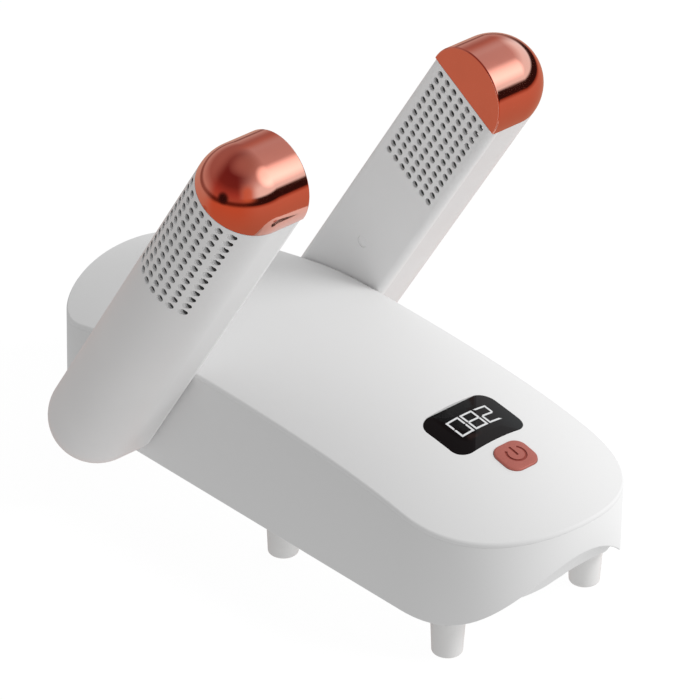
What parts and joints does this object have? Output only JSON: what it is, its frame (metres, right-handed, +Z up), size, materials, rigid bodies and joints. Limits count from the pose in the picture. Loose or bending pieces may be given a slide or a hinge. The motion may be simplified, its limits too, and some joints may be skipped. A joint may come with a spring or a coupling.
{
  "type": "boot dryer",
  "caption": "Table-top boot dryer: a low domed base with a control panel and hinged capsule arms with air holes and copper-coloured tips that swing up into the boots.",
  "frame": {"origin": "on the floor, under the middle of the object's bounding box", "axes": "+Z up; +Y from the control panel end towards the hinge end, along the object's length; +X towards the right arm, along the hinge axis"},
  "size_m": [0.1652, 0.259, 0.1902],
  "materials": {
    "white_shell": "white moulded plastic, fine satin texture",
    "white_arm": "white moulded plastic, satin",
    "white_foot": "white soft plastic, matte",
    "copper_chrome": "mirror-bright rose copper plating",
    "copper_red": "satin copper-red paint with an engraved power mark",
    "display_black": "polished black window",
    "dark_plastic": "black moulded plastic",
    "grey_plastic": "grey heat-resistant moulded plastic",
    "heater_mica": "pale heat-resistant duct liner",
    "heater_fins": "thin aluminium fins",
    "steel": "zinc-plated steel",
    "brass": "bare brass",
    "circuit_board": "green solder mask",
    "black_rubber": "soft black rubber",
    "filter_foam": "open-cell foam"
  },
  "bodies": {
    "base": {"housing": "white_shell", "top_cover": "white_shell", "base_tray": "white_shell", "foot_front_left": "white_foot", "foot_front_right": "white_foot", "foot_middle_left": "white_foot", "foot_middle_right": "white_foot", "foot_rear_left": "white_foot", "foot_rear_right": "white_foot", "tray_screw_front_left": "steel", "tray_screw_front_right": "steel", "tray_screw_rear_left": "steel", "tray_screw_rear_right": "steel", "display_window": "display_black", "display_module": "dark_plastic", "control_board": "circuit_board", "tact_switch": "dark_plastic", "intake_filter": "filter_foam", "blower_scroll": "grey_plastic", "blower_lid": "grey_plastic", "blower_motor": "steel", "heater_frame": "heater_mica", "heater_core": "heater_fins", "air_manifold": "grey_plastic", "left_spigot": "grey_plastic", "left_seal_ring": "black_rubber", "left_friction_washer": "black_rubber", "left_retaining_ring": "steel", "right_spigot": "grey_plastic", "right_seal_ring": "black_rubber", "right_friction_washer": "black_rubber", "right_retaining_ring": "steel", "power_inlet": "dark_plastic", "inlet_pin_left": "brass", "inlet_pin_right": "brass"},
    "left_arm": {"left_arm_shell": "white_arm", "left_arm_plate": "white_arm", "left_tip_cap": "copper_chrome", "left_screw_plug": "white_arm"},
    "right_arm": {"right_arm_shell": "white_arm", "right_arm_plate": "white_arm", "right_tip_cap": "copper_chrome", "right_screw_plug": "white_arm"},
    "power_button": {"power_button": "copper_red"},
    "impeller": {"blower_impeller": "dark_plastic", "impeller_shaft": "steel"}
  },
  "joints": [
    {"name": "left_arm_hinge", "type": "hinge", "parent": "base", "child": "left_arm", "pos_m": [-0.0481, 0.0727, 0.0371], "axis": [1, 0, 0], "range_deg": [-31.9, 58.1]},
    {"name": "right_arm_hinge", "type": "hinge", "parent": "base", "child": "right_arm", "pos_m": [0.0481, 0.0727, 0.0371], "axis": [1, 0, 0], "range_deg": [-31.9, 58.1]},
    {"name": "button_press", "type": "slide", "parent": "base", "child": "power_button", "axis": [0, 0.2263, -0.9741], "range_m": [0, 0.0008], "stiffness_N_per_m": 700, "springref_m": -0.0008},
    {"name": "impeller_spin", "type": "hinge", "parent": "base", "child": "impeller", "pos_m": [0, -0.005, 0.035], "axis": [0, 0, 1], "continuous": true}
  ]
}
